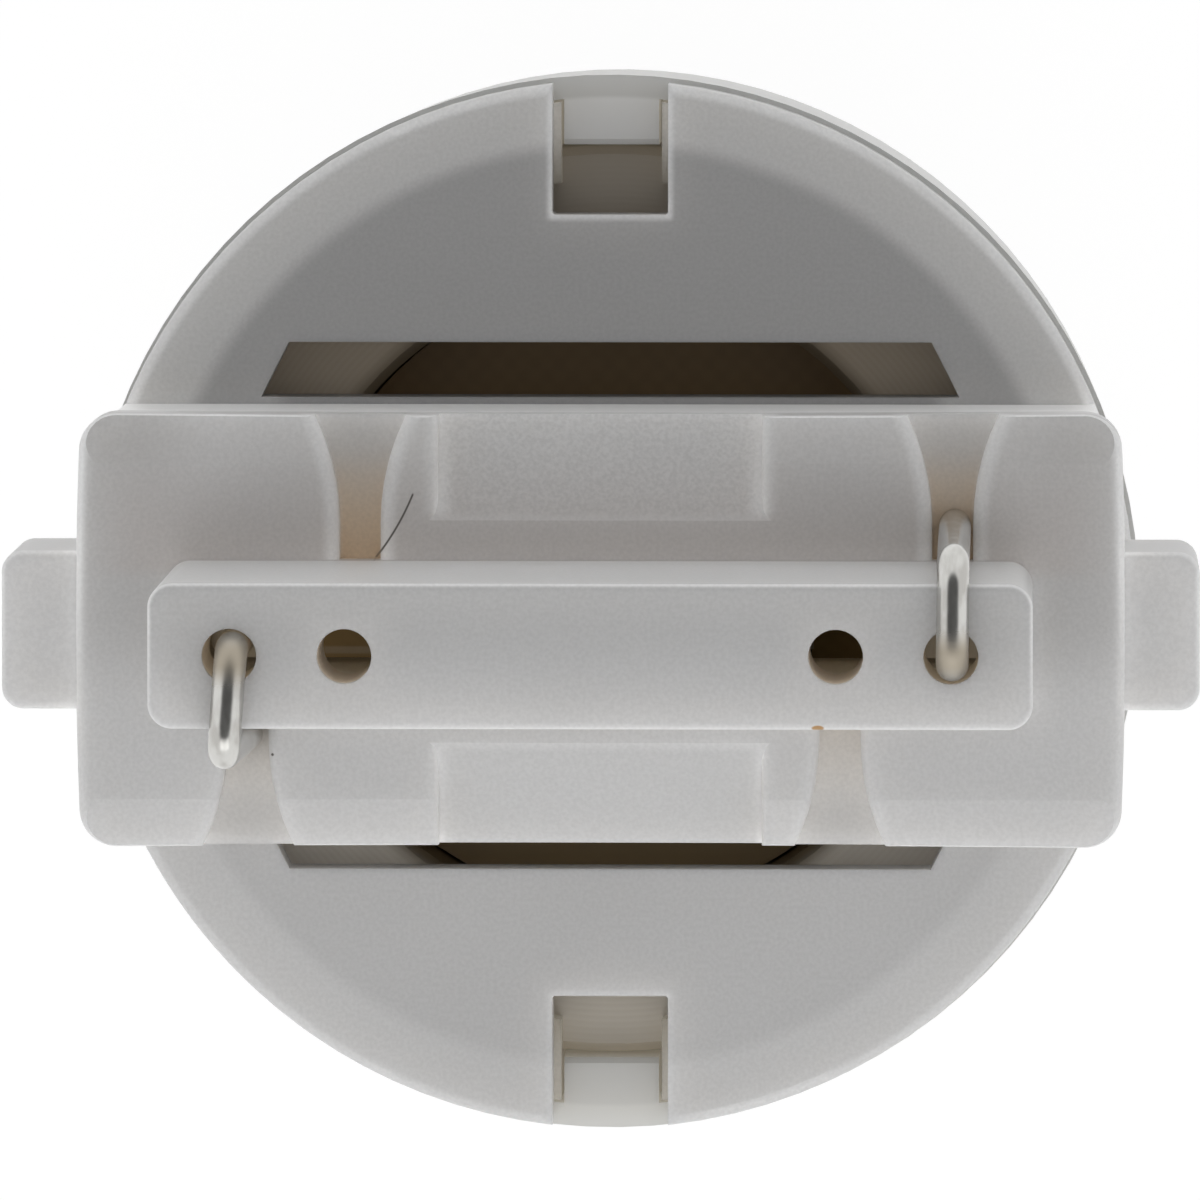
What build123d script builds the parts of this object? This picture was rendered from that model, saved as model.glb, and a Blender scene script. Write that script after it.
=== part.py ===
import os
from math import cos, radians, sin, sqrt

from build123d import *

os.makedirs("parts", exist_ok=True)

# Wedge blade, the flat tongue that the socket's contacts grip
blade_width = 15.15
blade_thickness = 2.5
blade_length = 7.0
blade_corner = 0.42
blade_edge = 0.12

# Wire holes along the blade: the outer pair is used, the inner pair is spare
hole_diameter = 0.94
hole_margin = 1.4
hole_pitch = 1.97

# Contact wires, bent over the blade's tip a little askew, with the tail tucked into a channel
wire_diameter = 0.56
wire_bend = 0.45
wire_rise = 0.03
wire_hole_play = 0.05
wire_standoff = 0.12
wire_lean = 0.2
wire_tail_gap = 0.05
wire_1_exit = 0.02
wire_1_fold = 0.04
wire_2_exit = -0.05
wire_2_fold = 0.08
wire_tail_play = 0.04
wire_stub = 0.5
wire_board_margin = 1.0
wire_knee = 0.8
wire_jog = 4.4
wire_jog_bend = 1.6

# Block under the blade, with its front plate, and the ears on its two ends
block_shoulder = 1.54
block_lip = 2.56
block_height = 7.5
block_corner = 0.66
block_bow = 0.09
block_sink = 0.04
plate_thickness = 1.45
plate_edge = 0.35
pedestal_inset = 0.18
ear_reach = 1.3
ear_thickness = 2.78
ear_corner = 0.38
ear_depth = 4.0
ear_setback = 0.25
ear_edge = 0.15

# Lead-in slopes on the front plate: along both long edges, and a steeper ramp at their middle
slope_width = 0.86
slope_drop = 0.22
ramp_land = 0.39
ramp_length = 1.86
ramp_drop = 0.95
ramp_lip = 0.2

# Channels for the wire tails, narrow at the blade and flared at the block's edge
channel_play = 0.08
channel_depth = 0.7
channel_mouth = 1.96
channel_straight = 0.65
channel_lip = 0.2

# Flange disc, its two windows beside the block and the two notches in its rim
disc_diameter = 18.85
disc_thickness = 1.2
disc_edge = 0.18
window_gap = 0.12
window_depth = 0.99
window_near_margin = 0.3
window_far_margin = 0.14
notch_width = 2.08
notch_depth = 2.4
notch_corner = 0.06

# Cup wall behind the disc, and the core that hollows the block and the blade from behind
cup_wall = 0.8
cup_step = 0.65
cup_end_gap = 0.3
cavity_height = 0.8
core_end_wall = 1.5
core_side_wall = 1.2
core_roof = 1.5
core_corner = 0.6
blade_wall = 0.7
blade_roof = 2.9
blade_core_corner = 0.3

# Lens: a milky cup with a stepped skirt and two hooks that snap into the notches
skirt_overhang = 0.08
skirt_wall = 0.4
skirt_draft = 0.1
seam_gap = 0.05
fit_gap = 0.05
column_setback = 1.5
column_height = 19.5
column_wall = 1.0
column_draft = 0.25
shoulder_thickness = 1.0
end_wall = 1.1
recess_rim = 1.5
recess_depth = 3.4
lens_edge = 0.5
hook_width = 1.71
hook_depth = 0.86
hook_height = 1.7
hook_chamfer = 0.1

# Heat sink ring, with the driver board on a ledge in its bore
sink_height = 4.5
sink_wall = 2.5
sink_ledge = 0.7
sink_ledge_height = 1.5
sink_edge = 0.15

# Boards and the pins that link them
led_board_thickness = 1.0
driver_board_thickness = 0.8
pin_diameter = 0.6
pin_spread = 5.2
pin_stub = 0.3
solder_play = 0.05

# Light-emitting diodes on the board's outer face
led_count = 6
led_wall_gap = 0.6
led_size = 2.5
led_height = 0.65
led_cut = 0.3
reflector_diameter = 2.1
reflector_floor = 1.75
reflector_depth = 0.4
phosphor_gap = 0.02

# Driver circuit: bodies with flat leads at both ends, and chips with metal caps at both ends
rectifier_length = 3.6
rectifier_width = 2.6
rectifier_height = 1.9
regulator_length = 3.6
regulator_width = 2.4
regulator_height = 1.5
body_gap = 0.5
body_edge = 0.2
lead_reach = 0.35
lead_width = 0.5
lead_thickness = 0.25
lead_pitch = 1.2
chip_length = 2.0
chip_width = 1.25
chip_cap = 0.4
chip_cap_step = 0.04
chip_gap = 1.15
chip_spread = 1.6
capacitor_height = 1.2
resistor_height = 0.5

# How far a cut runs past the face that it opens, and how close two places are to be the same
overcut = 0.3
same = 0.01

# Heights from the flat end that the bulb stands on, up to the blade's tip
board_z = column_height + shoulder_thickness
sink_z = board_z + led_board_thickness
step_z = sink_z + sink_height
disc_bottom = step_z + cavity_height
disc_top = disc_bottom + disc_thickness
front_z = disc_top + block_height
plate_z = front_z - plate_thickness
slope_z = front_z - slope_drop
ear_z = front_z - ear_setback
tip_z = front_z + blade_length
driver_z = sink_z + sink_ledge_height
driver_top = driver_z + driver_board_thickness
skirt_top = disc_bottom - seam_gap
hook_z = skirt_top - hook_height

# Half sizes of the blade and block, and radii from the disc inward
blade_half = blade_thickness / 2
block_width = blade_width + 2 * block_shoulder
block_end = block_width / 2 + block_bow
block_half = blade_half + block_lip
disc_radius = disc_diameter / 2
skirt_radius = disc_radius + skirt_overhang
skirt_inner = skirt_radius - skirt_wall
cup_radius = skirt_inner - fit_gap
cup_inner = cup_radius - cup_wall
cavity_radius = cup_inner - cup_step
sink_radius = cup_inner - fit_gap
column_radius = skirt_radius - column_setback
column_inner = column_radius - column_wall
sink_inner = sink_radius - sink_wall
driver_radius = sink_inner - fit_gap

# Places of the wires across the blade, and where wires and pins meet the boards
wire_radius = wire_diameter / 2
wire_x = blade_width / 2 - hole_margin
spare_x = wire_x - hole_pitch
ramp_half = spare_x - channel_mouth / 2 - ramp_land
wire_y = wire_radius + wire_hole_play - hole_diameter / 2
board_x = driver_radius - wire_board_margin
pin_x = pin_spread / 2
pin_hole = pin_diameter / 2 + solder_play


def save(part, name):
    part.label = name
    export_step(part, f"parts/{name}.step")


# Hollow for one wire tail, at the middle of the blade and facing +Y
channel_half = wire_radius + channel_play
flare_start = blade_half + channel_straight
flare_end = block_half + overcut
mouth_half = channel_mouth / 2
with BuildPart() as channel:
    with BuildSketch(Plane.XY.offset(front_z + overcut)):
        with BuildLine():
            Line((0, blade_half), (channel_half, blade_half))
            Line((channel_half, blade_half), (channel_half, flare_start))
            TangentArc((channel_half, flare_start), (mouth_half, flare_end), tangent=(0, 1))
            Line((mouth_half, flare_end), (0, flare_end))
            mirror(about=Plane.YZ)
        make_face()
    extrude(amount=-channel_depth - overcut)

# Base: one white moulding of cup wall, flange disc, block with ears, and wedge blade
pedestal_half = block_half - pedestal_inset
window_near = pedestal_half + window_gap
window_far = window_near + window_depth
window_near_half = sqrt((cavity_radius - window_near_margin) ** 2 - window_near**2)
window_far_half = sqrt((cavity_radius - window_far_margin) ** 2 - window_far**2)
catch_z = hook_z - fit_gap
with BuildPart() as base:
    # Disc and cup wall, turned about the bulb's axis
    with BuildSketch(Plane.XZ) as turned:
        with BuildLine():
            Polyline((0, disc_bottom), (cavity_radius, disc_bottom), (cavity_radius, step_z),
                     (cup_inner, step_z), (cup_inner, board_z + cup_end_gap),
                     (cup_radius, board_z + cup_end_gap), (cup_radius, disc_bottom),
                     (disc_radius, disc_bottom), (disc_radius, disc_top), (0, disc_top), close=True)
        make_face()
        fillet(turned.vertices().group_by(Axis.X)[-1], disc_edge)
    revolve(axis=Axis.Z)
    # Block: a pedestal within the disc's circle, and the front plate with bowed ends and sunk sides
    with BuildSketch(Plane.XY.offset(disc_top)):
        Circle(disc_radius)
        Rectangle(block_width, 2 * pedestal_half, mode=Mode.INTERSECT)
    extrude(amount=plate_z - disc_top)
    with BuildSketch(Plane.XY.offset(plate_z)) as outline:
        with BuildLine():
            ThreePointArc((-block_width / 2, block_half), (0, block_half - block_sink),
                          (block_width / 2, block_half))
            ThreePointArc((block_width / 2, block_half), (block_end, 0), (block_width / 2, -block_half))
            ThreePointArc((block_width / 2, -block_half), (0, block_sink - block_half),
                          (-block_width / 2, -block_half))
            ThreePointArc((-block_width / 2, -block_half), (-block_end, 0), (-block_width / 2, block_half))
        make_face()
        fillet(outline.vertices(), block_corner)
    extrude(amount=plate_thickness)
    fillet(base.faces().sort_by(Axis.Z)[-1].edges(), plate_edge)
    # Slopes along the long edges of the front face, and a steeper ramp at the middle of each
    with BuildSketch(Plane.YZ):
        with BuildLine():
            Polyline((block_half - slope_width, front_z), (block_half, slope_z),
                     (block_half + overcut, slope_z), (block_half + overcut, front_z + overcut),
                     (block_half - slope_width, front_z + overcut), close=True)
        make_face()
        mirror(about=Plane.YZ)
    extrude(amount=block_width, both=True, mode=Mode.SUBTRACT)
    with BuildSketch(Plane.YZ):
        with BuildLine():
            Polyline((block_half - ramp_length, front_z), (block_half, front_z - ramp_drop),
                     (block_half + overcut, front_z - ramp_drop), (block_half + overcut, front_z + overcut),
                     (block_half - ramp_length, front_z + overcut), close=True)
        make_face()
        mirror(about=Plane.YZ)
    extrude(amount=ramp_half, both=True, mode=Mode.SUBTRACT)
    ramp_sides = base.edges(Select.LAST).filter_by(lambda e: abs(abs(e.center().X) - ramp_half) < same)
    fillet(ramp_sides.filter_by(lambda e: e.center().Z > slope_z), ramp_lip)
    # Ears on the two ends
    with BuildSketch(Plane.XY.offset(ear_z)):
        RectangleRounded(2 * (block_end + ear_reach), ear_thickness, ear_corner)
    extrude(amount=-ear_depth)
    ear_rim = base.edges(Select.LAST).filter_by(lambda e: abs(e.center().Z - ear_z) < same)
    fillet(ear_rim.filter_by(lambda e: abs(e.center().X) > block_end), ear_edge)
    # Blade with its rounded tip
    with BuildSketch(Plane.XY.offset(front_z)):
        RectangleRounded(blade_width, blade_thickness, blade_corner)
    extrude(amount=blade_length)
    fillet(base.faces().sort_by(Axis.Z)[-1].edges(), blade_edge)
    # Channels: turned half round, the pattern of used and spare ones meets itself
    with Locations(Location((wire_x, 0, 0)), Location((-spare_x, 0, 0)),
                   Location((-wire_x, 0, 0), (0, 0, 180)), Location((spare_x, 0, 0), (0, 0, 180))):
        add(channel.part, mode=Mode.SUBTRACT)
    lips = base.edges(Select.LAST).filter_by(lambda e: slope_z < e.center().Z < front_z + same)
    fillet(lips.filter_by(lambda e: e.bounding_box().size.Y > channel_lip), channel_lip)
    # Core, open behind the disc, which leaves thin walls in block and blade, and the wire holes into it
    with BuildSketch(Plane.XY.offset(disc_bottom)):
        RectangleRounded(block_width - 2 * core_end_wall, 2 * (block_half - core_side_wall), core_corner)
    extrude(amount=front_z - core_roof - disc_bottom, mode=Mode.SUBTRACT)
    with BuildSketch(Plane.XY.offset(front_z - core_roof)):
        RectangleRounded(blade_width - 2 * blade_wall, blade_thickness - 2 * blade_wall, blade_core_corner)
    extrude(amount=blade_length + core_roof - blade_roof, mode=Mode.SUBTRACT)
    with BuildSketch(Plane.XY.offset(tip_z)):
        with Locations((wire_x, 0), (spare_x, 0), (-spare_x, 0), (-wire_x, 0)):
            Circle(hole_diameter / 2)
    extrude(amount=-blade_roof - overcut, mode=Mode.SUBTRACT)
    # Windows beside the block
    with BuildSketch(Plane.XY.offset(disc_bottom - overcut)):
        with BuildLine():
            Polyline((-window_near_half, window_near), (window_near_half, window_near),
                     (window_far_half, window_far), (-window_far_half, window_far), close=True)
        make_face()
        mirror(about=Plane.XZ)
    extrude(amount=disc_thickness + 2 * overcut, mode=Mode.SUBTRACT)
    # Notches in the disc's rim, and under each a narrower pocket in the cup wall where a hook catches
    with BuildSketch(Plane.XY.offset(disc_bottom)):
        with PolarLocations(disc_radius, 2, start_angle=90):
            RectangleRounded(2 * notch_depth, notch_width, notch_corner)
    extrude(amount=disc_thickness + overcut, mode=Mode.SUBTRACT)
    with BuildSketch(Plane.XY.offset(catch_z)):
        with PolarLocations(disc_radius, 2, start_angle=90):
            Rectangle(2 * notch_depth, hook_width + 2 * fit_gap)
    extrude(amount=disc_bottom - catch_z, mode=Mode.SUBTRACT)
save(base.part, "base")

# Lens: a milky hollow moulding with a shallow cone pressed into its flat end
shoulder_radius = skirt_radius - skirt_draft
end_radius = column_radius - column_draft
recess_radius = end_radius - recess_rim
with BuildPart() as lens:
    with BuildSketch(Plane.XZ) as shell:
        with BuildLine():
            Polyline((0, recess_depth), (recess_radius, 0), (end_radius, 0), (column_radius, column_height),
                     (shoulder_radius, column_height), (skirt_radius, skirt_top), (skirt_inner, skirt_top),
                     (skirt_inner, board_z), (column_inner, board_z), (end_radius - column_wall, end_wall),
                     (recess_radius, end_wall), (0, recess_depth + end_wall), close=True)
        make_face()
        shoulder = shell.vertices().filter_by(lambda v: abs(v.Y - column_height) < same)
        fillet(shoulder + shell.vertices().filter_by(lambda v: v.Y < same).sort_by(Axis.X)[-1:], lens_edge)
    revolve(axis=Axis.Z)
    # Hooks, sunk half way into the skirt's wall, with a lead-in on the upper inner edge
    hook_length = hook_depth + skirt_wall / 2
    with BuildSketch(Plane.XY.offset(hook_z)):
        with PolarLocations(skirt_inner - hook_depth + hook_length / 2, 2, start_angle=90):
            Rectangle(hook_length, hook_width)
    extrude(amount=hook_height)
    lead_in = lens.edges(Select.LAST).filter_by(Axis.X).group_by(Axis.Z)[-1]
    chamfer(lead_in, hook_chamfer)
save(lens.part, "lens")

# Contact wires: from the driver board, out through the blade's end hole and over its tip into a channel
tail_y = blade_half + wire_standoff + wire_radius
over_z = tip_z + wire_rise + wire_radius
tail_end_y = tail_y + wire_lean
tail_z = front_z - channel_depth + wire_tail_gap
tail_x = wire_x + wire_tail_play


def contact_wire(name, end, exit_x, fold_x):
    with BuildPart() as wire:
        with BuildLine() as route:
            FilletPolyline(
                (end * board_x, end * wire_y, driver_z - wire_stub),
                (end * board_x, end * wire_y, driver_top + wire_knee),
                (end * exit_x, end * wire_y, driver_top + wire_knee + wire_jog),
                (end * exit_x, end * wire_y, over_z),
                (end * fold_x, end * tail_y, over_z),
                (end * tail_x, end * tail_end_y, tail_z),
                radius=[wire_jog_bend, wire_jog_bend, wire_bend, wire_bend],
            )
        with BuildSketch(Plane(origin=route.line @ 0, z_dir=route.line % 0)):
            Circle(wire_radius)
        sweep()
    save(wire.part, name)


contact_wire("contact_wire_1", 1, wire_x + wire_1_exit, wire_x + wire_1_fold)
contact_wire("contact_wire_2", -1, wire_x + wire_2_exit, wire_x + wire_2_fold)

# Heat sink: a turned aluminium ring that seats on the step inside the cup wall
with BuildPart() as heat_sink:
    with BuildSketch(Plane.XZ) as ring:
        with BuildLine():
            Polyline((sink_inner - sink_ledge, sink_z), (sink_radius, sink_z), (sink_radius, step_z),
                     (sink_inner, step_z), (sink_inner, driver_z),
                     (sink_inner - sink_ledge, driver_z), close=True)
        make_face()
        chamfer(ring.vertices().group_by(Axis.Y)[-1], sink_edge)
    revolve(axis=Axis.Z)
save(heat_sink.part, "heat_sink")

# Boards: the LED board lies between lens shoulder and heat sink, the driver board on the bore's ledge
with BuildPart() as led_board:
    with BuildSketch(Plane.XY.offset(board_z)):
        Circle(sink_radius)
        with Locations((pin_x, 0), (-pin_x, 0)):
            Circle(pin_hole, mode=Mode.SUBTRACT)
    extrude(amount=led_board_thickness)
save(led_board.part, "led_board")
with BuildPart() as driver_board:
    with BuildSketch(Plane.XY.offset(driver_z)):
        Circle(driver_radius)
        with Locations((pin_x, 0), (-pin_x, 0)):
            Circle(pin_hole, mode=Mode.SUBTRACT)
        with Locations((board_x, wire_y), (-board_x, -wire_y)):
            Circle(wire_radius + solder_play, mode=Mode.SUBTRACT)
    extrude(amount=driver_board_thickness)
save(driver_board.part, "driver_board")

# Link pins, soldered through both boards
for number, x in enumerate((pin_x, -pin_x), start=1):
    with BuildPart() as link_pin:
        with BuildSketch(Plane.XY.offset(board_z - pin_stub)):
            with Locations((x, 0)):
                Circle(pin_diameter / 2)
        extrude(amount=driver_top - board_z + 2 * pin_stub)
    save(link_pin.part, f"link_pin_{number}")

# Diodes: square packages with one cut corner, and the phosphor cast into the reflector cup of each
led_reach = sqrt((column_inner - led_wall_gap) ** 2 - (led_size / 2) ** 2) - led_size / 2
for number in range(1, led_count + 1):
    angle = radians(360 / led_count * (number - 0.5))
    outward = Vector(cos(angle), sin(angle), 0)
    seat = Plane(outward * led_reach + Vector(0, 0, board_z), x_dir=outward, z_dir=(0, 0, -1))
    with BuildPart() as led_package:
        with BuildSketch(seat) as footprint:
            Rectangle(led_size, led_size)
            chamfer(footprint.vertices().sort_by(Axis.X)[-1], led_cut)
        extrude(amount=led_height)
        with Locations(seat.offset(led_height - reflector_depth / 2)):
            Cone(reflector_floor / 2, reflector_diameter / 2, reflector_depth, mode=Mode.SUBTRACT)
    save(led_package.part, f"led_package_{number}")
    with BuildPart() as led_phosphor:
        with Locations(seat.offset(led_height - reflector_depth / 2)):
            Cone(reflector_floor / 2 - phosphor_gap, reflector_diameter / 2 - phosphor_gap, reflector_depth)
    save(led_phosphor.part, f"led_phosphor_{number}")


# Leaded bodies, side by side across the middle of the driver board
def leaded_body(name, length, width, height, y):
    with BuildPart() as body:
        with BuildSketch(Plane.XY.offset(driver_top)):
            with Locations((0, y)):
                Rectangle(length, width)
        extrude(amount=height)
        chamfer(body.faces().sort_by(Axis.Z)[-1].edges(), body_edge)
        with BuildSketch(Plane.XY.offset(driver_top)):
            with Locations((0, y)):
                with GridLocations(0, lead_pitch, 1, 2):
                    Rectangle(length + 2 * lead_reach, lead_width)
        extrude(amount=lead_thickness)
    save(body.part, name)


leaded_body("bridge_rectifier", rectifier_length, rectifier_width, rectifier_height,
            (body_gap + rectifier_width) / 2)
leaded_body("current_regulator", regulator_length, regulator_width, regulator_height,
            -(body_gap + regulator_width) / 2)


# Chips beside them, each a block with slightly larger metal caps
def chip(name, height, x, y):
    with BuildPart() as body:
        with BuildSketch(Plane.XY.offset(driver_top)):
            with Locations((x, y)):
                Rectangle(chip_width, chip_length)
        extrude(amount=height)
        with BuildSketch(Plane.XY.offset(driver_top)):
            with Locations((x, y)):
                with GridLocations(0, chip_length - chip_cap, 1, 2):
                    Rectangle(chip_width + 2 * chip_cap_step, chip_cap)
        extrude(amount=height + chip_cap_step)
    save(body.part, name)


chip_x = rectifier_length / 2 + chip_gap
chip("input_capacitor", capacitor_height, -chip_x, chip_spread)
chip("output_capacitor", capacitor_height, -chip_x, -chip_spread)
chip("sense_resistor_1", resistor_height, chip_x, chip_spread)
chip("sense_resistor_2", resistor_height, chip_x, -chip_spread)
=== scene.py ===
import math

import bpy
from mathutils import Matrix, Vector


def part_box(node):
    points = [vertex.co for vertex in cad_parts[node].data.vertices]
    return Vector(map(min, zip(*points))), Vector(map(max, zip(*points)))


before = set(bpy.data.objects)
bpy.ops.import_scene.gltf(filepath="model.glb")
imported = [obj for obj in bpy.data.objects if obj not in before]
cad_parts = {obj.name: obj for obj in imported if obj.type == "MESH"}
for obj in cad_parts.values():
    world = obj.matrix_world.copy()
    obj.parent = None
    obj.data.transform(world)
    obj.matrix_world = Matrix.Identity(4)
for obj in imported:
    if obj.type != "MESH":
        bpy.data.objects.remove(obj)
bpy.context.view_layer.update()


# Light board: a round aluminium plate under a white solder mask, punched from sheet.
# It lies between the lens's shoulder and the heat sink, and carries the diodes on its outer face.
mm_per_metre = 1000.0


class Shade:
    """One output of a material's nodes, on which Python's arithmetic adds Math nodes."""

    def __init__(self, tree, output=None):
        self.tree = tree
        self.output = output

    def add(self, kind, settings, inputs, output=0):
        """Adds a node of that kind: its settings first, then a value or a link for each input."""
        node = self.tree.nodes.new(kind)
        for name, value in settings.items():
            setattr(node, name, value)
        for name, value in inputs.items():
            if isinstance(value, Shade):
                self.tree.links.new(value.output, node.inputs[name])
            else:
                node.inputs[name].default_value = value
        return Shade(self.tree, node.outputs[output])

    def maths(self, operation, first, second=0.0):
        """A Math node on one or two values."""
        return self.add("ShaderNodeMath", {"operation": operation}, {0: first, 1: second})

    def __add__(self, other):
        return self.maths("ADD", self, other)

    __radd__ = __add__

    def __sub__(self, other):
        return self.maths("SUBTRACT", self, other)

    def __rsub__(self, other):
        return self.maths("SUBTRACT", other, self)

    def __mul__(self, other):
        return self.maths("MULTIPLY", self, other)

    __rmul__ = __mul__

    def __or__(self, other):
        """The greater of the two, which joins two masks."""
        return self.maths("MAXIMUM", self, other)

    __ror__ = __or__

    def __pow__(self, power):
        return self.maths("POWER", self, power)

    def __abs__(self):
        return self.maths("ABSOLUTE", self)

    def ramp(self, low, high, start=0.0, end=1.0, at=0.0):
        """Goes smoothly from start at low to end at high, both counted from at; low may be the greater."""
        return self.add("ShaderNodeMapRange", {"interpolation_type": "SMOOTHSTEP"}, {
            "Value": self, "From Min": at + low, "From Max": at + high, "To Min": start, "To Max": end})

    def tint(self, low, high):
        """Blends from colour low to colour high."""
        return self.add("ShaderNodeMix", {"data_type": "RGBA"}, {0: self, 6: low, 7: high}, 2)


class Finish:
    """A material with one Principled shader, whose plain sockets hold the given values."""

    def __init__(self, name, values):
        self.material = bpy.data.materials.new(name)
        self.material.use_nodes = True
        self.material.cycles.emission_sampling = "NONE"
        self.tree = self.material.node_tree
        self.shader = self.tree.nodes["Principled BSDF"]
        for socket, value in values.items():
            self.shader.inputs[socket].default_value = value
        self.place = Shade(self.tree).add("ShaderNodeTexCoord", {}, {}, "Object")

    def feed(self, socket, shade):
        """Links what varies over the surface to one of the shader's sockets."""
        self.tree.links.new(shade.output, self.shader.inputs[socket])

    def axes(self):
        """Places along X, Y and Z, in millimetres."""
        scaled = self.place.add("ShaderNodeVectorMath", {"operation": "SCALE"},
                                {0: self.place, "Scale": mm_per_metre})
        return [scaled.add("ShaderNodeSeparateXYZ", {}, {0: scaled}, axis) for axis in "XYZ"]

    def grain(self, size, detail=2.0, stretch=(1.0, 1.0, 1.0)):
        """Cloudy noise from 0 to 1 with blotches of about that size, in metres."""
        spread = self.place.add("ShaderNodeVectorMath", {"operation": "MULTIPLY"},
                                {0: self.place, 1: stretch})
        return spread.add("ShaderNodeTexNoise", {},
                          {"Vector": spread, "Scale": 1.0 / size, "Detail": detail})

    def emboss(self, height, depth):
        """Bumps the surface by that height field, depth metres tall."""
        bump = height.add("ShaderNodeBump", {}, {"Height": height, "Strength": 1.0, "Distance": depth})
        self.feed("Normal", bump)

    def dress(self, *nodes):
        """Puts this finish in every material slot of those pieces."""
        for node in nodes:
            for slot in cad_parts[node].material_slots:
                slot.material = self.material


mask_white = (0.78, 0.78, 0.75, 1.0)
mask_shade = (0.68, 0.68, 0.64, 1.0)
mask_cloud = 0.0016
mask_contrast = (0.3, 0.7)
mask_pimple = 0.0002
mask_relief = 0.000004
light_board = Finish("white_solder_mask", {"Roughness": 0.38})
mask_tone = light_board.grain(mask_cloud).ramp(*mask_contrast)
light_board.feed("Base Color", mask_tone.tint(mask_shade, mask_white))
light_board.emboss(light_board.grain(mask_pimple), mask_relief)
light_board.dress("led_board")


# Diodes: square white packages soldered to the light board, each with a cut corner to mark its cathode.
# The reflector cup in each holds cast silicone full of yellow phosphor grains.
diode_numbers = range(1, 7)
package_white = (0.84, 0.84, 0.82, 1.0)
package_worn = (0.74, 0.73, 0.70, 1.0)
package_cloud = 0.0005
package_contrast = (0.25, 0.75)
package = Finish("white_package", {"Roughness": 0.32})
package_tone = package.grain(package_cloud).ramp(*package_contrast)
package.feed("Base Color", package_tone.tint(package_worn, package_white))
package.dress(*[f"led_package_{number}" for number in diode_numbers])

phosphor_deep = (0.62, 0.40, 0.03, 1.0)
phosphor_pale = (0.86, 0.66, 0.10, 1.0)
phosphor_size = 0.00008
phosphor_detail = 3.0
phosphor_contrast = (0.3, 0.7)
phosphor_relief = 0.000006
phosphor = Finish("yellow_phosphor", {"Roughness": 0.25})
phosphor_grain = phosphor.grain(phosphor_size, phosphor_detail)
phosphor.feed("Base Color", phosphor_grain.ramp(*phosphor_contrast).tint(phosphor_deep, phosphor_pale))
phosphor.emboss(phosphor_grain, phosphor_relief)
phosphor.dress(*[f"led_phosphor_{number}" for number in diode_numbers])


# Driver board: glass-fibre sheet under a dark solder mask, on the ledge in the heat sink's bore.
# Its mask is thin enough for the weave of the glass cloth to show. Its middle has a painted glow
# (emission, no lamp) for the light that soaks through the base's thin walls, with a brighter painted glow
# band towards -X, and its colour is painted lighter towards -Y.
# The last mask colour is painted light: the mask goes lighter towards -Y, where more light falls
mask_dark = (0.370, 0.235, 0.098, 1.0)
mask_weave = (0.390, 0.250, 0.106, 1.0)
mask_painted_lit = (0.50, 0.355, 0.165, 1.0)
mask_light_fade = (-1.0, -4.0)
weave_pitch = 0.45
weave_swing = (-1.0, 1.0)
weave_relief = 0.0000008
dark = (0.0, 0.0, 0.0, 1.0)
# Emission colours: a painted glow standing for light that soaks through the base; the board is no lamp
soak_end = (0.040, 0.027, 0.012, 1.0)
soak_dim = (0.004, 0.003, 0.0012, 1.0)
soak_glow_band = (0.055, 0.043, 0.028, 1.0)
soak_half = (1.6, 1.3)
dim_middle = 2.0
dim_half = (3.8, 2.8)
glow_band_place = -1.06
glow_band_half = (0.09, 0.04)
glow_band_end = (-2.0, -3.0)
driver_board = Finish("dark_solder_mask", {"Roughness": 0.42, "Emission Strength": 1.0})
across, along = driver_board.axes()[:2]
# A brighter painted glow band across the board towards -X
painted_glow_band = abs(along - glow_band_place).ramp(*glow_band_half) * across.ramp(*glow_band_end)
soak = painted_glow_band.tint(abs(across - dim_middle).ramp(*dim_half).tint(soak_end, soak_dim), soak_glow_band)
driver_board.feed("Emission Color", abs(along).ramp(*soak_half).tint(dark, soak))
warp = across.maths("SINE", across * (2 * math.pi / weave_pitch))
weft = along.maths("SINE", along * (2 * math.pi / weave_pitch))
weave = warp * weft
masked = weave.ramp(*weave_swing).tint(mask_dark, mask_weave)
driver_board.feed("Base Color", along.ramp(*mask_light_fade).tint(masked, mask_painted_lit))
driver_board.emboss(weave, weave_relief)
driver_board.dress("driver_board")


# Driver circuit: a rectifier and a current regulator in black epoxy with flat tinned leads,
# and ceramic chips with dipped tin caps, all soldered to the driver board.
epoxy_black = (0.018, 0.018, 0.019, 1.0)
epoxy_grey = (0.040, 0.040, 0.041, 1.0)
epoxy_speck = 0.00012
epoxy_detail = 3.0
epoxy_contrast = (0.4, 0.7)
epoxy_rough = 0.55
tin_bright = (0.74, 0.73, 0.70, 1.0)
lead_length = 0.35
lead_edge = (-0.01, 0.01)
lead_rough = 0.30
for body in ("bridge_rectifier", "current_regulator"):
    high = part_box(body)[1]
    epoxy = Finish(f"{body}_epoxy", {})
    across = epoxy.axes()[0]
    lead = abs(across).ramp(*lead_edge, at=high.x * mm_per_metre - lead_length)
    specks = epoxy.grain(epoxy_speck, epoxy_detail).ramp(*epoxy_contrast)
    epoxy.feed("Base Color", lead.tint(specks.tint(epoxy_black, epoxy_grey), tin_bright))
    epoxy.feed("Metallic", lead)
    epoxy.feed("Roughness", epoxy_rough - lead * (epoxy_rough - lead_rough))
    epoxy.dress(body)

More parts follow.
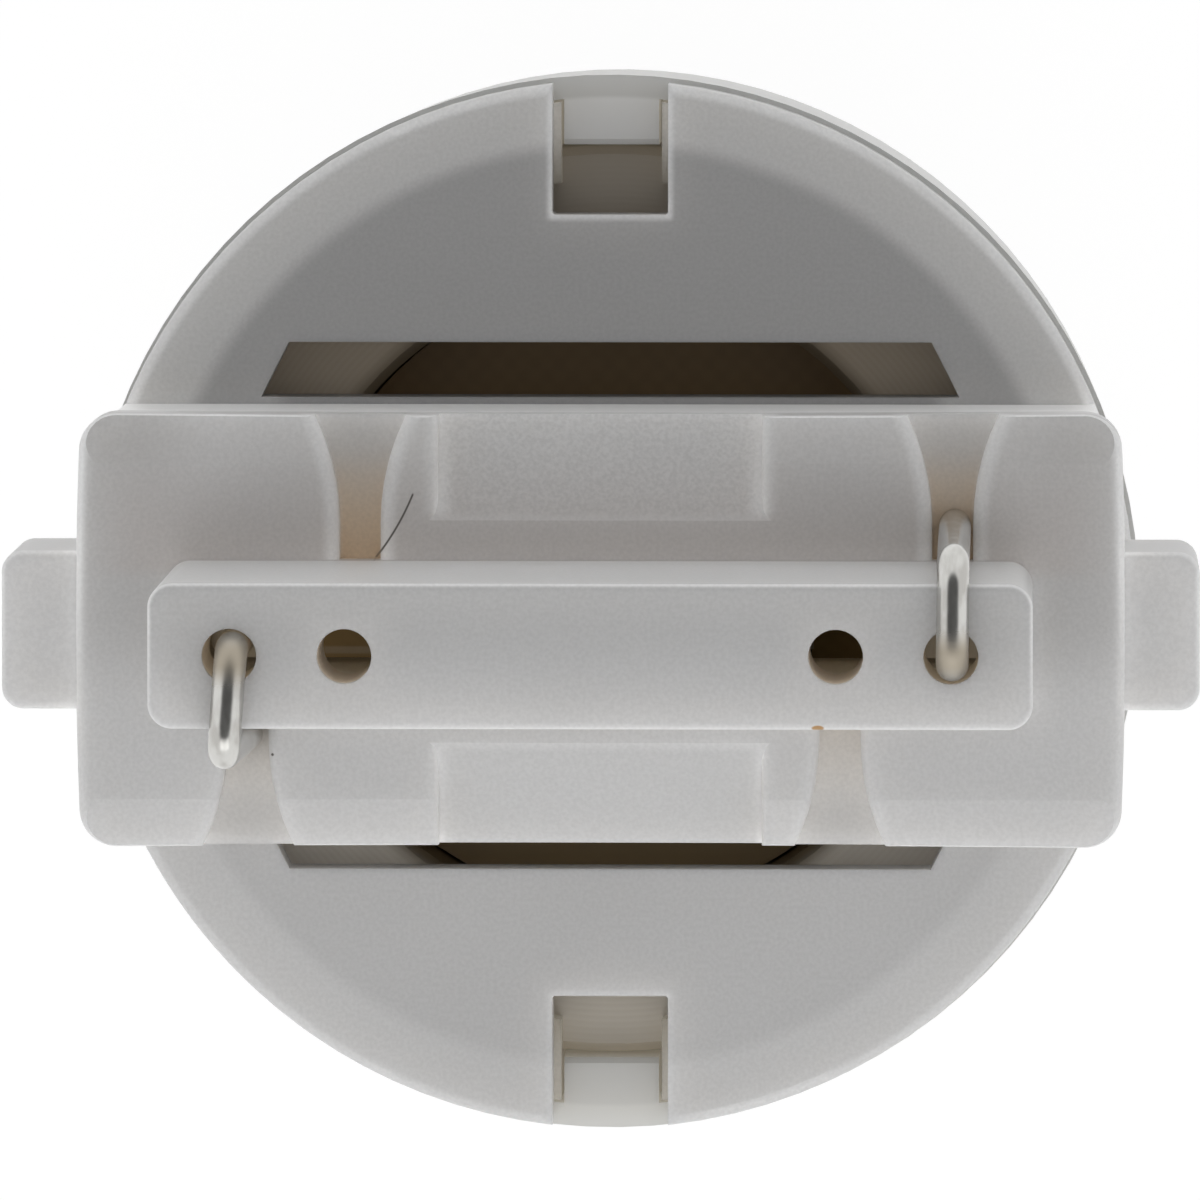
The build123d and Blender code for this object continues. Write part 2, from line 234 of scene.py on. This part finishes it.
capacitor_tan = (0.40, 0.27, 0.15, 1.0)
resistor_black = (0.02, 0.02, 0.022, 1.0)
chip_faces = {"input_capacitor": capacitor_tan, "output_capacitor": capacitor_tan,
              "sense_resistor_1": resistor_black, "sense_resistor_2": resistor_black}
chip_speck = 0.0001
chip_contrast = (0.2, 0.8)
chip_shade = 0.8
chip_rough = 0.50
cap_length = 0.4
cap_edge = (-0.02, 0.02)
cap_rough = 0.28
for body, face in chip_faces.items():
    low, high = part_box(body)
    middle = (low.y + high.y) / 2 * mm_per_metre
    half = (high.y - low.y) / 2 * mm_per_metre
    ceramic = Finish(f"{body}_ceramic", {})
    along = ceramic.axes()[1]
    cap = abs(along - middle).ramp(*cap_edge, at=half - cap_length)
    face_shade = [chip_shade * part for part in face[:3]] + [1.0]
    fired = ceramic.grain(chip_speck).ramp(*chip_contrast).tint(face_shade, face)
    ceramic.feed("Base Color", cap.tint(fired, tin_bright))
    ceramic.feed("Metallic", cap)
    ceramic.feed("Roughness", chip_rough - cap * (chip_rough - cap_rough))
    ceramic.dress(body)


# Contact wires and link pins: drawn copper wire, tinned by hot dipping.
# Each contact wire comes out of a hole in the blade's tip and folds over into a channel in the block,
# and the pins are soldered through both boards.
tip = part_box("base")[1].z * mm_per_metre
tin_pale = (0.63, 0.625, 0.60, 1.0)
tin_grey = (0.49, 0.48, 0.455, 1.0)
tin_tan = (0.43, 0.385, 0.315, 1.0)
tin_rough = 0.14
streak_size = 0.00025
streak_detail = 2.0
streak_stretch = (1.0, 0.4, 0.4)
streak_contrast = (0.35, 0.65)
streak_rough = 0.14
streak_relief = 0.000003
reflection_depth = (-0.8, -0.2)
reflection_half = (0.6, 0.1)
reflection_rough = 0.3
tinned = Finish("tinned_wire", {"Metallic": 1.0})
along, up = tinned.axes()[1:]
streak = tinned.grain(streak_size, streak_detail, streak_stretch)
streaked = streak.ramp(*streak_contrast).tint(tin_grey, tin_pale)
# Painted reflection: just below the tip, where each wire goes into its hole, the tin is painted tan for
# the tan hole it reflects, and made rougher there
hole_reflection = up.ramp(*reflection_depth, at=tip) * abs(along).ramp(*reflection_half)
tinned.feed("Base Color", hole_reflection.tint(streaked, tin_tan))
tinned.feed("Roughness", tin_rough + streak * streak_rough + hole_reflection * reflection_rough)
tinned.emboss(streak, streak_relief)
tinned.dress("contact_wire_1", "contact_wire_2", "link_pin_1", "link_pin_2")


# Heat sink: a ring turned from aluminium bar, left bare and dull, with fine tool marks round its faces.
# It seats on the step in the base's cup and takes the diodes' heat from the light board.
# Under the blade it has a faint painted glow (emission) for the light that soaks through the base.
# Its colour is painted paler towards -Y and darker at the +Y edge, and painted shade darkens it round the
# bore.
sink_painted_lit = (0.95, 0.885, 0.78, 1.0)
sink_painted_dim = (0.71, 0.60, 0.465, 1.0)
sink_painted_bore_shade = (0.26, 0.20, 0.125, 1.0)
sink_painted_shade = (0.55, 0.495, 0.42, 1.0)
soak_ring = (0.085, 0.070, 0.050, 1.0)
bore_radius = 5.705
bore_shade = (0.45, 0.0)
mark_pitch = 0.11
mark_tone = 0.06
mark_relief = 0.0000005
painted_light_fade = (6.0, -6.0)
painted_shade_fade = (5.5, 7.5)
ring_reach = (7.4, 7.0)
sink = Finish("turned_aluminium", {"Metallic": 0.35, "Roughness": 0.5, "Emission Strength": 1.0})
across, along = sink.axes()[:2]
reach = (across * across + along * along) ** 0.5
marks = reach.maths("SINE", reach * (2 * math.pi / mark_pitch))
# Tool marks, plus painted light: paler towards -Y, and painted shade towards the +Y edge
marks_and_painted_light = (marks * mark_tone + along.ramp(*painted_light_fade)).tint(sink_painted_dim, sink_painted_lit)
marks_and_painted_light = along.ramp(*painted_shade_fade).tint(marks_and_painted_light, sink_painted_shade)
# Painted shade round the bore
sink.feed("Base Color", reach.ramp(*bore_shade, at=bore_radius).tint(marks_and_painted_light, sink_painted_bore_shade))
sink.emboss(marks, mark_relief)
# Painted glow (emission) under the blade; the ring is no lamp
under_blade = abs(along).ramp(*soak_half) * abs(across).ramp(*ring_reach)
sink.feed("Emission Color", under_blade.tint(dark, soak_ring))
sink.dress("heat_sink")


# Base: one white polyester moulding of cup, flange disc, block with ears, and wedge blade.
# Its colour carries painted light and shade: thin walls over the hollow inside are painted greyer, rounded
# edges get painted highlights, the channels' floors are painted tan beside the blade, and many places are
# painted lighter or darker between the -Y and +Y sides.
blade_length = 7.0
blade_half = 1.25
block_height = 7.5
block_half = 3.81
block_end = 9.2
pedestal_half = 3.63
disc_thickness = 1.2
front = tip - blade_length
disc_face = front - block_height
ledge = disc_face - disc_thickness
plastic_white = (0.64, 0.636, 0.635, 1.0)
plastic_shade = (0.60, 0.596, 0.594, 1.0)
plastic_painted_highlight = (0.86, 0.86, 0.86, 1.0)
cloud_size = 0.004
cloud_detail = 1.0
cloud_contrast = (0.25, 0.75)
unlit_fade = (-1.0, 1.0)
base = Finish("white_polyester", {
    "Subsurface Weight": 1.0,
    "Subsurface Radius": (1.0, 0.94, 0.86),
    "Subsurface Scale": 0.0009,
    "IOR": 1.5,
    "Emission Strength": 1.0,
})
base.shader.subsurface_method = "BURLEY"
across, along, up = base.axes()
side = abs(across)
off = abs(along)
unlit = along.ramp(*unlit_fade)
reach = (across * across + along * along) ** 0.5
skin = base.grain(cloud_size, cloud_detail).ramp(*cloud_contrast).tint(plastic_shade, plastic_white)

# On the disc, painted shade: its face painted greyer, most on the +Y side, which shows at the rim over the
# cup's wall, the thin plate over the cavity painted much darker, also most on the +Y side, and a dark
# painted shadow strip at the pedestal's foot
cup_reach = 8.3
rim_painted_shade = (0.56, 0.556, 0.55, 1.0)
thin_plate_painted_shade = (0.375, 0.371, 0.370, 1.0)
foot_painted_shadow = (0.28, 0.276, 0.274, 1.0)
disc_top = (0.3, 0.1)
rim_fade = (-3.0, 3.0, 0.4, 1.0)
cavity_edge = (0.2, -0.2)
cavity_fade = (-4.0, 4.0, 0.3, 1.0)
foot_edge = (0.2, 0.14)
foot_fade = (0.0, 1.0)
foot_end = (6.2, 5.6)
on_disc = up.ramp(*disc_top, at=disc_face)
skin = (on_disc * along.ramp(*rim_fade)).tint(skin, rim_painted_shade)
over_cavity = on_disc * reach.ramp(*cavity_edge, at=cup_reach) * along.ramp(*cavity_fade)
skin = over_cavity.tint(skin, thin_plate_painted_shade)
at_foot = on_disc * off.ramp(*foot_edge, at=pedestal_half) * along.ramp(*foot_fade) * side.ramp(*foot_end)
skin = at_foot.tint(skin, foot_painted_shadow)

# Round the disc: a painted highlight on its edge and the notches' edges, weaker on the -Y side, and
# painted shade on the ledges in the two notches, deeper on the +Y side and painted paler beside the hooks
disc_radius = 9.425
notch_half = 1.04
notch_reach = 7.02
ledge_painted_shade = (0.46, 0.425, 0.36, 1.0)
ledge_painted_deep_shade = (0.34, 0.31, 0.26, 1.0)
ledge_painted_light = (0.61, 0.587, 0.55, 1.0)
edge_width = (-0.25, -0.1)
edge_depth = (-0.5, -0.3)
edge_fade = (-2.0, 2.0, 0.2, 0.6)
notch_edge = (0.15, 0.0)
notch_end = (-0.15, 0.0)
notch_side = (0.1, 0.05)
notch_inner = (7.0, 7.2)
ledge_top = (0.2, 0.1)
ledge_pale_side = (0.85, 0.91)
ledge_pale_reach = (7.4, 8.6)
ledge_pale_fade = (-1.0, 1.0, 0.5, 1.0)
at_rim = reach.ramp(*edge_width, at=disc_radius)
at_notch = side.ramp(*notch_edge, at=notch_half) * off.ramp(*notch_end, at=notch_reach)
at_edge = (at_rim | at_notch) * on_disc * up.ramp(*edge_depth, at=disc_face)
skin = (at_edge * along.ramp(*edge_fade)).tint(skin, plastic_painted_highlight)
in_notch = up.ramp(*ledge_top, at=ledge) * side.ramp(*notch_side, at=notch_half) * off.ramp(*notch_inner)
ledge_skin = unlit.tint(ledge_painted_shade, ledge_painted_deep_shade)
by_hook = side.ramp(*ledge_pale_side) * off.ramp(*ledge_pale_reach) * along.ramp(*ledge_pale_fade)
skin = in_notch.tint(skin, by_hook.tint(ledge_skin, ledge_painted_light))

# On the block, painted light and shade: the pedestal's +Y wall painted lighter, the plate's ends painted
# darker, mostly on the +Y side, a warm painted shade on the plate beside the blade's +Y side, one ramp
# painted darker on the lamp's side, and the ears slightly lighter
plate_thickness = 1.45
ramp_half = 2.835
ramp_length = 1.86
ramp_start = block_half - ramp_length
wall_painted_light = (0.80, 0.798, 0.795, 1.0)
end_painted_shade = (0.53, 0.523, 0.518, 1.0)
warm_painted_shade = (0.525, 0.50, 0.487, 1.0)
ramp_painted_shade = (0.56, 0.557, 0.555, 1.0)
plastic_ear = (0.665, 0.66, 0.658, 1.0)
wall_top = (0.1, -0.1)
wall_foot = (0.0, 0.2)
wall_face = (-0.2, -0.05)
plate_low = (-1.0, -0.5)
plate_top = (0.3, 0.1)
end_start = (6.6, 8.2)
end_edge = (0.1, -0.1)
end_fade = (-1.5, 0.3)
warm_width = (block_half, blade_half + 0.3)
warm_end = (9.2, 8.0)
warm_fade = (0.8, 1.2)
ramp_side = (0.0, -0.2)
ramp_rise = (0.0, 0.2)
ramp_top = (0.2, 0.0)
ramp_foot = (-1.4, -1.2)
ear_start = (-0.1, 0.1)
ear_foot = (1.0, 1.5)
below_plate = up.ramp(*wall_top, at=front - plate_thickness) * up.ramp(*wall_foot, at=disc_face)
on_wall = below_plate * along.ramp(*wall_face, at=pedestal_half)
skin = on_wall.tint(skin, wall_painted_light)
on_plate = up.ramp(*plate_low, at=front) * up.ramp(*plate_top, at=front)
plate_end = on_plate * side.ramp(*end_start) * side.ramp(*end_edge, at=block_end) * along.ramp(*end_fade)
skin = plate_end.tint(skin, end_painted_shade)
by_blade = on_plate * along.ramp(*warm_width) * side.ramp(*warm_end) * along.ramp(*warm_fade)
skin = by_blade.tint(skin, warm_painted_shade)
on_ramp = side.ramp(*ramp_side, at=ramp_half) * off.ramp(*ramp_rise, at=ramp_start)
on_ramp = on_ramp * up.ramp(*ramp_top, at=front) * up.ramp(*ramp_foot, at=front)
skin = (on_ramp * (1.0 - unlit)).tint(skin, ramp_painted_shade)
on_ear = side.ramp(*ear_start, at=block_end) * up.ramp(*ear_foot, at=disc_face)
skin = on_ear.tint(skin, plastic_ear)

# In the channels, painted light and shade: floors painted lighter, and darker on the +Y side, a painted
# tan shade beside the blade, strongest on the +Y side, and greyer painted shade at the mouths
channel_inner = 3.3
channel_outer = 7.3
floor_painted_light = (0.70, 0.692, 0.68, 1.0)
floor_painted_shade = (0.55, 0.535, 0.52, 1.0)
tan_painted_shade = (0.68, 0.54, 0.39, 1.0)
mouth_painted_shade = (0.548, 0.542, 0.537, 1.0)
channel_top = (-0.3, -0.6)
channel_foot = (-1.3, -0.9)
inner_edge = (-0.3, 0.0)
outer_edge = (0.3, 0.0)
floor_reach = (block_half + 0.8, blade_half + 0.9)
tan_reach = (block_half, blade_half)
tan_fade = (-1.0, 1.0, 0.22, 1.0)
mouth_reach = (-1.2, -0.2)
in_channel = up.ramp(*channel_top, at=front) * up.ramp(*channel_foot, at=front)
in_channel = in_channel * side.ramp(*inner_edge, at=channel_inner)
in_channel = in_channel * side.ramp(*outer_edge, at=channel_outer)
channel_floor = unlit.tint(floor_painted_light, floor_painted_shade)
skin = (in_channel * off.ramp(*floor_reach)).tint(skin, channel_floor)
skin = (in_channel * off.ramp(*tan_reach) * along.ramp(*tan_fade)).tint(skin, tan_painted_shade)
skin = (in_channel * off.ramp(*mouth_reach, at=block_half)).tint(skin, mouth_painted_shade)

# On the blade, painted light and shade: its side away from the lamp painted lighter, and the tip painted
# darker except along its -Y edge
side_painted_light = (0.78, 0.778, 0.775, 1.0)
tip_painted_shade = (0.51, 0.508, 0.507, 1.0)
side_foot = (0.1, 0.4)
side_top = (-0.1, -0.3)
side_face = (-0.2, -0.05)
tip_edge = (-0.3, -0.1)
tip_fade = (-1.15, 0.5)
above_plate = up.ramp(*side_foot, at=front) * up.ramp(*side_top, at=tip)
skin = (above_plate * along.ramp(*side_face, at=blade_half)).tint(skin, side_painted_light)
skin = (up.ramp(*tip_edge, at=tip) * along.ramp(*tip_fade)).tint(skin, tip_painted_shade)

# Painted highlights on rounded edges: the lips of the flared channels and of the ramps, then every other
# edge by its tilt, weaker on the -Y side
wire_hole = 6.175
spare_hole = 4.205
channel_half = 0.36
channel_flare = 0.127
flare_start = 1.9
quarter_edge = (-0.01, 0.01)
lip_outer = (0.36, 0.12)
lip_inner = (-0.06, 0.02)
lip_start = (-0.02, 0.02)
lip_fade = (-1.5, 1.5, 0.1, 0.45)
lip_cover = 0.8
ramp_lip = (0.34, 0.06, 0.0, 0.7)
round_tilt = (0.98, 0.6)
round_limit = (0.0, 0.2)
round_fade = (-1.5, 1.5, 0.4, 0.9)
channel_middle = (across * along).ramp(*quarter_edge, spare_hole, wire_hole)
flare = off.maths("MAXIMUM", off - flare_start, 0.0)
past_lip = abs(side - channel_middle) - flare * flare * channel_flare - channel_half
at_lip = past_lip.ramp(*lip_outer) * past_lip.ramp(*lip_inner)
at_ramp = abs(side - ramp_half).ramp(*ramp_lip) * off.ramp(*ramp_rise, at=ramp_start)
lip = (at_lip | at_ramp) * on_plate * off.ramp(*lip_start, at=blade_half)
skin = (lip * along.ramp(*lip_fade)).tint(skin, plastic_painted_highlight)
normal = base.place.add("ShaderNodeNewGeometry", {}, {}, "Normal")
tilt = normal.add("ShaderNodeSeparateXYZ", {}, {0: normal}, "Z")
rounded = tilt.ramp(*round_tilt) * tilt.ramp(*round_limit)
rounded = rounded * (1.0 - on_disc) * (1.0 - on_ramp) * (1.0 - lip * lip_cover)
skin = (rounded * along.ramp(*round_fade)).tint(skin, plastic_painted_highlight)

# Inside: the holes down the blade, and the hollow core of blade and block behind them, painted a pale tan
# as painted light, so that they pass on more of the light soaking through the walls
hole_radius = 0.47
hole_painted_light = (0.84, 0.76, 0.655, 1.0)
core_painted_light = (0.94, 0.90, 0.83, 1.0)
hole_edge = (0.12, 0.04)
hole_top = (-0.1, -0.4)
block_core = (-1.0, -1.15)
block_core_end = (7.9, 7.7)
block_core_top = (-1.3, -1.45)
blade_core = (-0.4, -0.6)
blade_core_end = (7.1, 6.95)
blade_core_top = (-2.6, -2.85)
nearest = side.maths("MINIMUM", abs(side - wire_hole), abs(side - spare_hole))
from_hole = (nearest * nearest + along * along) ** 0.5
in_hole = from_hole.ramp(*hole_edge, at=hole_radius) * up.ramp(*hole_top, at=tip)
skin = in_hole.tint(skin, hole_painted_light)
in_block = off.ramp(*block_core, at=block_half) * side.ramp(*block_core_end)
in_block = in_block * up.ramp(*block_core_top, at=front)
in_blade = off.ramp(*blade_core, at=blade_half) * side.ramp(*blade_core_end)
in_blade = in_blade * up.ramp(*blade_core_top, at=tip)
skin = (in_block | in_blade).tint(skin, core_painted_light)

# Small blemishes of this moulding: a scorched fleck on the tip's edge, a dark dot and a fine dark scratch
fleck_place = (3.90, -1.22)
fleck_size = (0.11, 0.05)
fleck_edge = (1.3, 0.5)
fleck_depth = (-0.4, -0.2)
fleck_brown = (0.42, 0.24, 0.09, 1.0)
fleck_across = (across - fleck_place[0]) * (1 / fleck_size[0])
fleck_along = (along - fleck_place[1]) * (1 / fleck_size[1])
fleck = (fleck_across * fleck_across + fleck_along * fleck_along).ramp(*fleck_edge)
skin = (fleck * up.ramp(*fleck_depth, at=tip)).tint(skin, fleck_brown)
dot_place = (-5.74, -2.17)
dot_edge = (0.035, 0.015)
dot_across = across - dot_place[0]
dot_along = along - dot_place[1]
dot = ((dot_across * dot_across + dot_along * dot_along) ** 0.5).ramp(*dot_edge)
scratch_from = (-3.95, 1.26)
scratch_to = (-3.27, 2.415)
scratch_bow = 0.05
scratch_edge = (0.026, 0.008)
scratch_start = (-0.02, 0.02)
scratch_stop = (1.02, 0.98)
run = (scratch_to[0] - scratch_from[0], scratch_to[1] - scratch_from[1])
length = math.hypot(*run)
start_across = across - scratch_from[0]
start_along = along - scratch_from[1]
part_way = (start_across * run[0] + start_along * run[1]) * (1 / length ** 2)
straight = (start_across * run[1] - start_along * run[0]) * (1 / length)
bowed = straight - part_way * (1.0 - part_way) * (4 * scratch_bow)
scratch = abs(bowed).ramp(*scratch_edge) * part_way.ramp(*scratch_start) * part_way.ramp(*scratch_stop)
blemish_dark = (0.10, 0.09, 0.08, 1.0)
skin = ((dot | scratch) * on_plate).tint(skin, blemish_dark)

# Over all of it: the fine grain that the mould leaves in the skin, clearest on the ramps
speckle_size = 0.00007
speckle_detail = 1.0
speckle_contrast = (0.2, 0.8)
speckle_low = (0.925, 0.925, 0.925, 1.0)
speckle_high = (1.075, 1.075, 1.075, 1.0)
speckle_share = 0.6
speckle_share_ramp = 0.4
speckle_relief = 0.000006
speckle_height = 0.3
speckle_height_ramp = 0.7
plastic_rough = 0.34
speckle_rough = 0.14
speckle = base.grain(speckle_size, speckle_detail)
grained = speckle.ramp(*speckle_contrast).tint(speckle_low, speckle_high)
share = on_ramp * unlit * speckle_share_ramp + speckle_share
skin = skin.add("ShaderNodeMix", {"data_type": "RGBA", "blend_type": "MULTIPLY"},
                {0: share, 6: skin, 7: grained}, 2)
base.feed("Base Color", skin)
base.feed("Roughness", plastic_rough + speckle * speckle_rough)
base.emboss(speckle * (on_ramp * speckle_height_ramp + speckle_height), speckle_relief)

# Painted glow (emission, no lamp) for the light that soaks through the plastic: in the core and its holes,
# on one wall, and in the hooks' seams, where it lightens their shadow
soak_core = (0.008, 0.0062, 0.0038, 1.0)
soak_hole = (0.024, 0.023, 0.022, 1.0)
soak_wire_hole = (0.062, 0.052, 0.039, 1.0)
soak_wall = (0.07, 0.07, 0.069, 1.0)
soak_seam = (0.065, 0.060, 0.050, 1.0)
soak_depth = (-4.5, -1.0)
hole_divide = (spare_hole + 0.8, wire_hole - 0.8)
seam_top = (-0.02, -0.06)
hole_soak = side.ramp(*hole_divide).tint(soak_hole, soak_wire_hole)
soaked = up.ramp(*soak_depth, at=tip).tint(soak_core, hole_soak)
soaked = (in_hole | in_blade).tint(dark, soaked)
soaked = on_wall.tint(soaked, soak_wall)
in_seam = in_notch * up.ramp(*seam_top, at=ledge)
base.feed("Emission Color", in_seam.tint(soaked, soak_seam))
base.dress("base")


# Lens: a hollow cup moulded in milky polycarbonate, frosted so that the diodes' light spreads.
# Two hooks on its skirt snap into the notches in the flange disc's rim.
milk_painted_lit = (0.75, 0.745, 0.715, 1.0)
milk_painted_shade = (0.60, 0.597, 0.58, 1.0)
milk_fade = (9.0, -9.0, 0.0, 0.75)
milk_rough = 0.29
haze_size = 0.005
haze_detail = 1.0
haze_share = 0.25
haze_rough = 0.05
hook_painted_lit = (0.76, 0.757, 0.745, 1.0)
hook_painted_shade = (0.67, 0.665, 0.64, 1.0)
hook_fade = (-9.0, 9.0)
skirt_gap = 0.05
skirt_top = ledge - skirt_gap
skirt_inner = 9.105
hook_half = 0.855
hook_chamfer = 0.1
hook_height = 1.7
hook_edge = (0.05, -0.05)
hook_foot = (-2.0, -1.5)
chamfer_depth = (0.0, -0.04)
flank_edge = (-0.01, -0.002)
flank_depth = (0.0, -0.03)
seam_reach = (0.1, 0.02)
seam_foot = (-0.3, -0.1)
lens = Finish("milky_polycarbonate", {
    "Subsurface Weight": 0.5,
    "Subsurface Radius": (1.0, 0.95, 0.85),
    "Subsurface Scale": 0.0012,
    "IOR": 1.58,
    "Emission Strength": 1.0,
})
lens.shader.subsurface_method = "BURLEY"
across, along, up = lens.axes()
side = abs(across)
reach = (across * across + along * along) ** 0.5
haze = lens.grain(haze_size, haze_detail)
# Painted light: the lens paler towards -Y, where the lamp is, and darker towards +Y, with some random haze
milk = (haze * haze_share + along.ramp(*milk_fade)).tint(milk_painted_shade, milk_painted_lit)
on_hook = reach.ramp(*hook_edge, at=skirt_inner) * up.ramp(*hook_foot, at=skirt_top)
# Painted light on the hooks: paler on the +Y hook, darker on the -Y hook
lens.feed("Base Color", on_hook.tint(milk, along.ramp(*hook_fade).tint(hook_painted_shade, hook_painted_lit)))
lens.feed("Roughness", milk_rough + haze * haze_rough)
# Painted glow (emission) in the seams beside the hooks, lightening their shadow
below_chamfer = up.ramp(*chamfer_depth, at=skirt_top - hook_chamfer)
on_flank = side.ramp(*flank_edge, at=hook_half) * up.ramp(*flank_depth, at=skirt_top)
in_seam = (below_chamfer | on_flank) * side.ramp(*notch_side, at=notch_half)
in_seam = in_seam * reach.ramp(*seam_reach, at=skirt_inner) * abs(along).ramp(*notch_inner)
in_seam = in_seam * up.ramp(*seam_foot, at=skirt_top - hook_height)
lens.feed("Emission Color", in_seam.tint(dark, soak_seam))
lens.dress("lens")


# Floor: a plain pale table top, on which the bulb stands on the flat end of its lens.
# To the camera and in reflections it is white, but it still takes the bulb's soft shadow.
floor_half = 3.0
floor_white = (0.86, 0.86, 0.86, 1.0)
floor_glow = 0.85
glow_white = (1.0, 1.0, 1.0, 1.0)
glow_strength = 1.08
ray_kinds = ("Is Camera Ray", "Is Glossy Ray", "Is Transmission Ray")
floor_mesh = bpy.data.meshes.new("floor")
floor_mesh.from_pydata(
    [(-floor_half, -floor_half, 0), (floor_half, -floor_half, 0), (floor_half, floor_half, 0),
     (-floor_half, floor_half, 0)], [], [(0, 1, 2, 3)])
floor = bpy.data.objects.new("floor", floor_mesh)
bpy.context.scene.collection.objects.link(floor)
table = Finish("pale_table", {"Base Color": floor_white, "Roughness": 0.8})
white = table.place.add("ShaderNodeEmission", {}, {"Color": glow_white, "Strength": glow_strength})
seen, glossy, through = [table.place.add("ShaderNodeLightPath", {}, {}, kind) for kind in ray_kinds]
lit = Shade(table.tree, table.shader.outputs[0])
mixed = lit.add("ShaderNodeMixShader", {}, {0: (seen | glossy | through) * floor_glow, 1: lit, 2: white})
table.tree.links.new(mixed.output, table.tree.nodes["Material Output"].inputs["Surface"])
floor_mesh.materials.append(table.material)


# Light: a plain white surround with a darker patch overhead, where the camera stands, a low pale card
# behind the bulb, and one large soft lamp half way up on the side that the photograph shows brightest.
ambient = 0.67
ambient_tilt = 0.56
fill = 1.4
fill_reach = (0.75, 0.95)
fill_height = (0.3, 0.1)
fill_foot = (-0.05, 0.05)
overhead = 0.12
overhead_edge = (0.66, 0.88)
world = bpy.data.worlds.new("surround")
world.use_nodes = True
bpy.context.scene.world = world
sky = Shade(world.node_tree)
direction = sky.add("ShaderNodeTexCoord", {}, {}, "Generated")
height = direction.add("ShaderNodeSeparateXYZ", {}, {0: direction}, "Z")
level = direction.add("ShaderNodeSeparateXYZ", {}, {0: direction}, "Y")
seen, glossy, through = [sky.add("ShaderNodeLightPath", {}, {}, kind) for kind in ray_kinds]
mirrored = 1.0 - height.ramp(*overhead_edge) * (1.0 - overhead)
card = level.ramp(*fill_reach) * height.ramp(*fill_height) * height.ramp(*fill_foot)
strength = ambient * (1.0 - level * ambient_tilt) + card * fill
strength = strength + seen * (1.0 - strength) + glossy * (mirrored - strength) + through * (1.0 - strength)
background = world.node_tree.nodes["Background"]
background.inputs["Color"].default_value = glow_white
world.node_tree.links.new(strength.output, background.inputs["Strength"])

lamp_reach = 0.5
lamp_height = math.radians(42)
lamp_width = 0.5
lamp_depth = 0.3
lamp_power = 0.25
lamp_data = bpy.data.lights.new("soft_lamp", "AREA")
lamp_data.shape = "RECTANGLE"
lamp_data.size = lamp_width
lamp_data.size_y = lamp_depth
lamp_data.energy = lamp_power
lamp = bpy.data.objects.new("soft_lamp", lamp_data)
bpy.context.scene.collection.objects.link(lamp)
lamp_from = Vector((0.0, -math.cos(lamp_height), math.sin(lamp_height)))
lamp.location = Vector((0.0, 0.0, front / mm_per_metre)) + lamp_from * lamp_reach
lamp.rotation_mode = "QUATERNION"
lamp.rotation_quaternion = lamp_from.to_track_quat("Z", "Y")
lamp.visible_camera = False


# Camera: close above the base end with a long lens, leaning a little to the top right of the picture.
# Its distance gives the small shifts of perspective between the tip, the block and the disc.
camera_lean = Vector((0.0240, 0.0600))
camera_distance = 0.303
camera_lens = 506.3
camera_sensor = 36.0
camera_near = 0.01
camera_far = 20.0
disc_height = disc_face / mm_per_metre
camera_aim = Vector((-0.000180, 0.000108, disc_height))
towards = Vector((camera_lean.x, camera_lean.y, math.sqrt(1.0 - camera_lean.length_squared)))
stand = Vector((0.0, 0.0, disc_height)) + towards * camera_distance
back = (stand - camera_aim).normalized()
right = Vector((0.0, 1.0, 0.0)).cross(back).normalized()
camera_data = bpy.data.cameras.new("camera")
camera_data.lens = camera_lens
camera_data.sensor_width = camera_sensor
camera_data.clip_start = camera_near
camera_data.clip_end = camera_far
camera = bpy.data.objects.new("camera", camera_data)
bpy.context.scene.collection.objects.link(camera)
turn = Matrix((right, back.cross(right), back)).transposed()
camera.matrix_world = Matrix.Translation(stand) @ turn.to_4x4()
bpy.context.scene.camera = camera

bpy.context.scene.view_settings.view_transform = "Standard"
